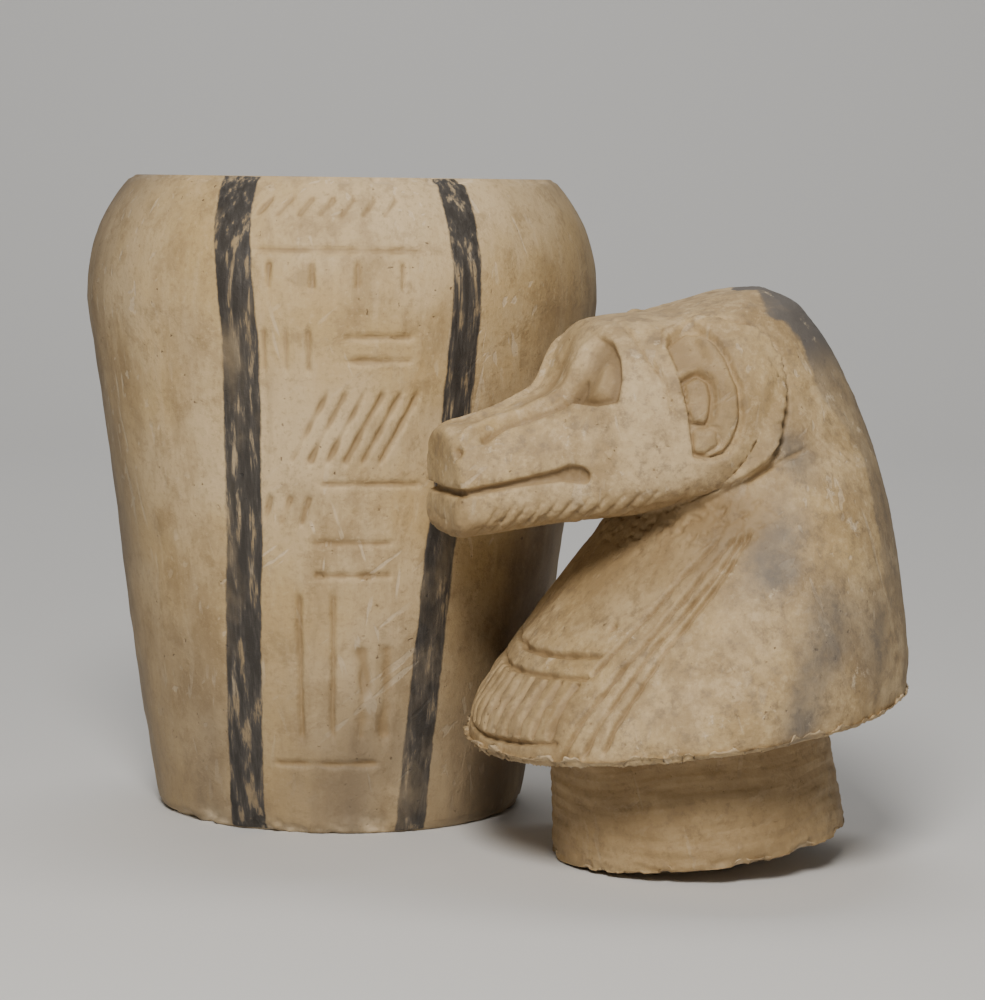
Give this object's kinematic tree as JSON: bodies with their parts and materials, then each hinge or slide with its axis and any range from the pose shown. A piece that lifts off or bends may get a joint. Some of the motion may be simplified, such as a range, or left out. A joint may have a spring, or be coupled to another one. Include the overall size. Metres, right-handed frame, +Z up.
{
  "type": "canopic jar",
  "caption": "Hollow stone jar with a tapering wall and a carved column, and its stopper lid carved as a baboon's head standing beside it.",
  "frame": {"origin": "centre of the jar's flat underside", "axes": "+Z up along the jar's axis, -Y towards the carved column, +X towards the side where the lid stands"},
  "size_m": [0.3039, 0.2739, 0.24],
  "materials": {
    "jar_limestone": "matte",
    "lid_limestone": "matte"
  },
  "bodies": {
    "root": {"jar": "jar_limestone", "lid": "lid_limestone"}
  },
  "joints": []
}
